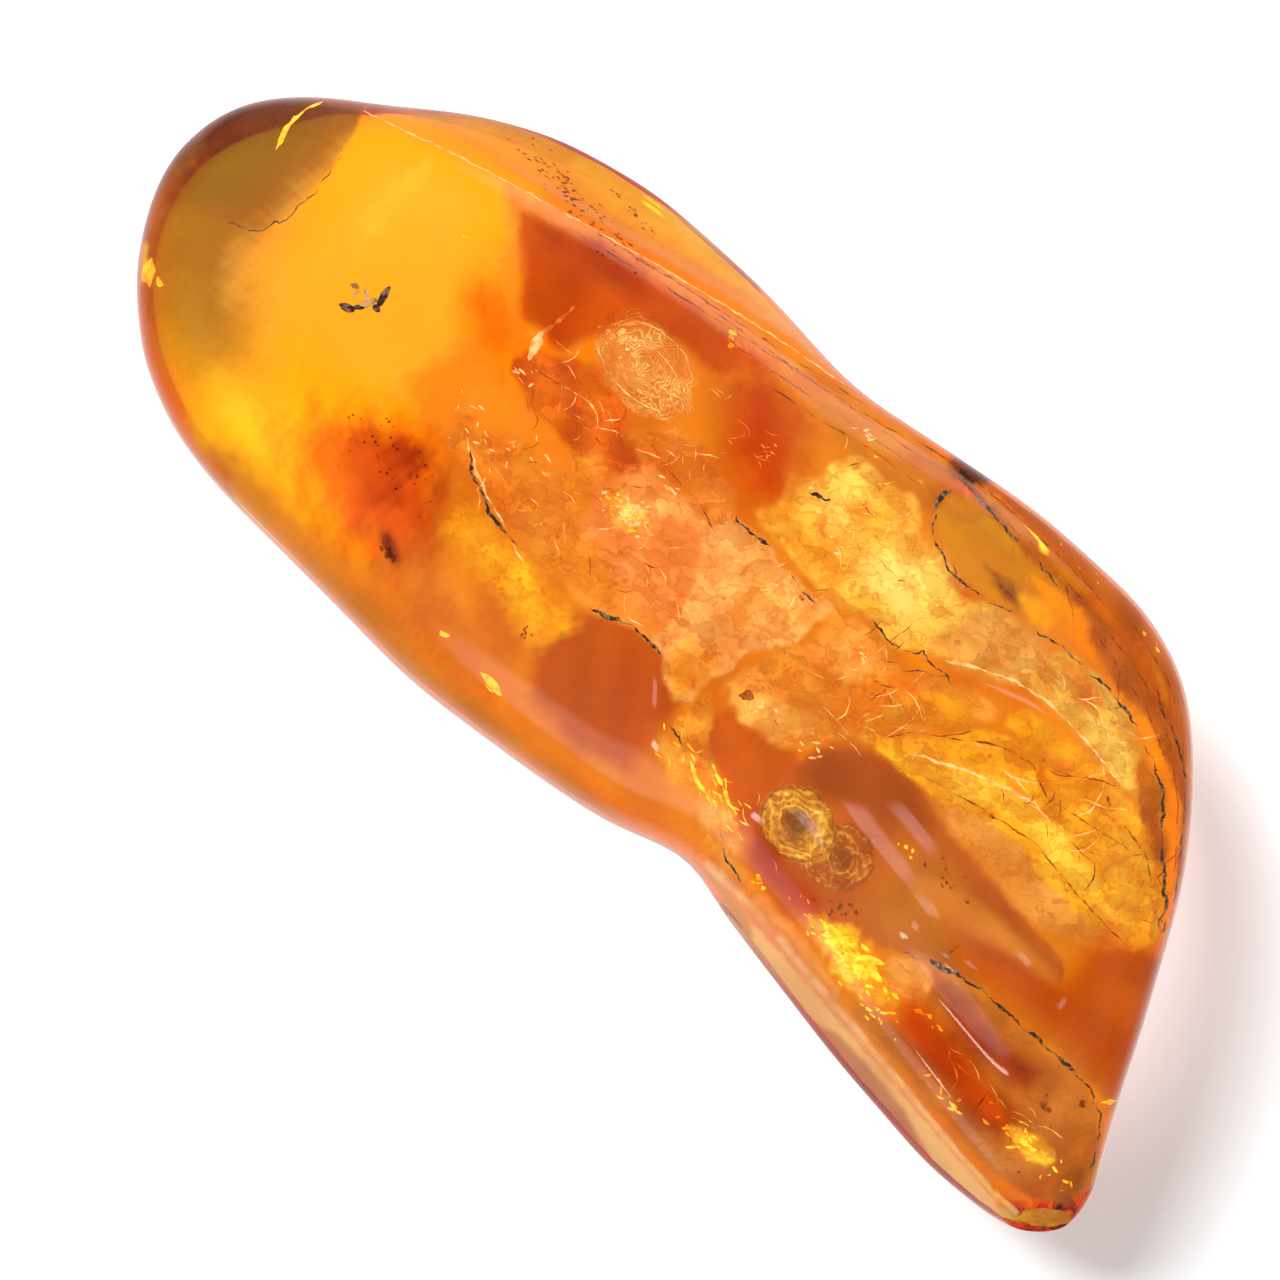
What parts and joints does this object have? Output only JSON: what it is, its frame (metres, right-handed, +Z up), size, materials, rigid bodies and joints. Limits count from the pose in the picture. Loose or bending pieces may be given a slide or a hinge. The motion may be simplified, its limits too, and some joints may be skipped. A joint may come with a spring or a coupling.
{
  "type": "amber pebble",
  "caption": "Tumbled pebble of clear honey and red amber, long and low, with a rounded blunt end, a soft crest, fluted wedge-shaped half and a worn flat underside.",
  "frame": {"origin": "middle of the pebble's box in plan, on the worn flat underside that it rests on", "axes": "+Z up from the surface it rests on, +X along the pebble's length towards the wedge-shaped end, +Y towards the side with the high bulge"},
  "size_m": [0.05, 0.022, 0.0134],
  "materials": {
    "amber": "clear polished amber with cloudy and red zones, flow sheets and dark seams inside"
  },
  "bodies": {
    "root": {"amber_pebble": "amber"}
  },
  "joints": []
}
